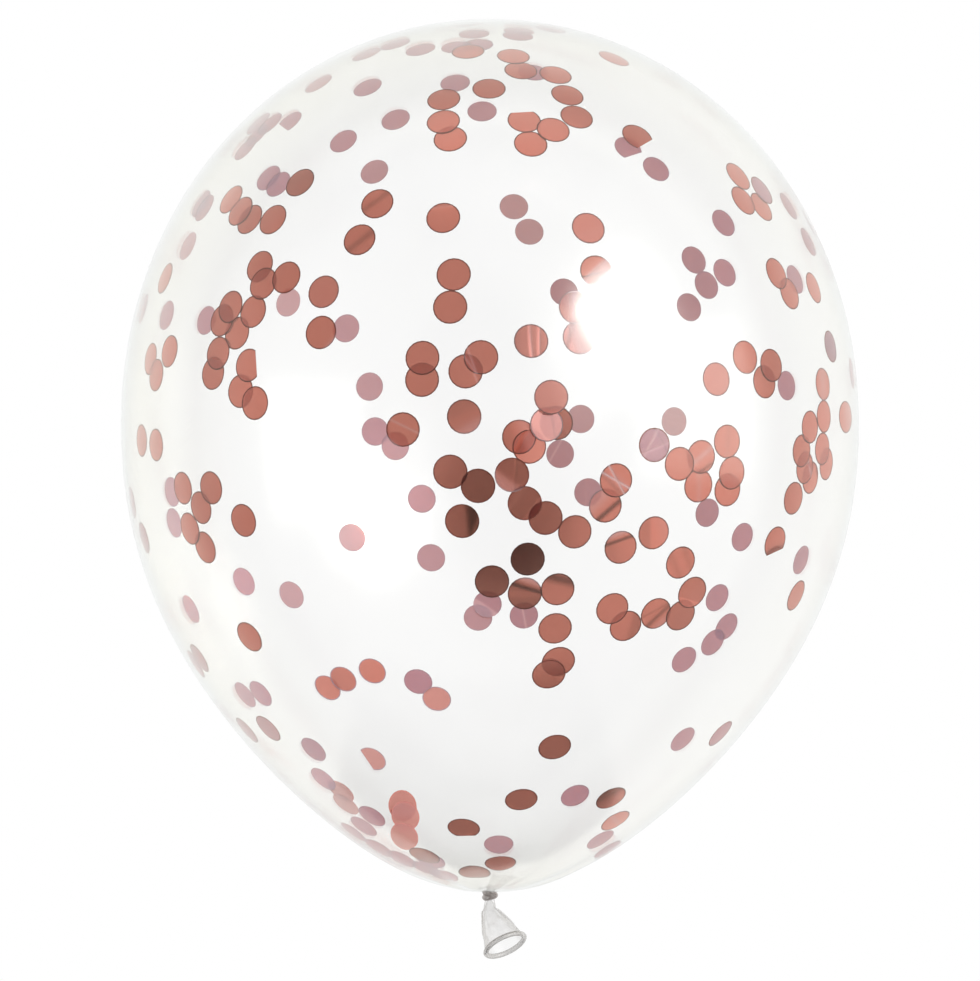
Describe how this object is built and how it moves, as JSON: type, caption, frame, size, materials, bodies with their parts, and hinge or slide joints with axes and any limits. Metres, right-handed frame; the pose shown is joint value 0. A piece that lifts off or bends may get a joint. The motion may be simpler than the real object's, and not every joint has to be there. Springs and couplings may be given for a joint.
{
  "type": "confetti balloon",
  "caption": "Clear round latex party balloon with foil confetti discs sealed inside, knotted at the neck and lying on its side.",
  "frame": {"origin": "centre of the flat resting spot under the balloon's widest section", "axes": "+Y along the balloon's own axis towards its crown, with the knot and mouthpiece at -Y; -Z out of the resting spot; +X across"},
  "size_m": [0.28, 0.3571, 0.2786],
  "materials": {
    "clear_latex": "clear blown film with a wet gloss",
    "rose_gold_foil": "metallised film, rose gold"
  },
  "bodies": {
    "root": {"latex_balloon": "clear_latex"}
  },
  "joints": []
}
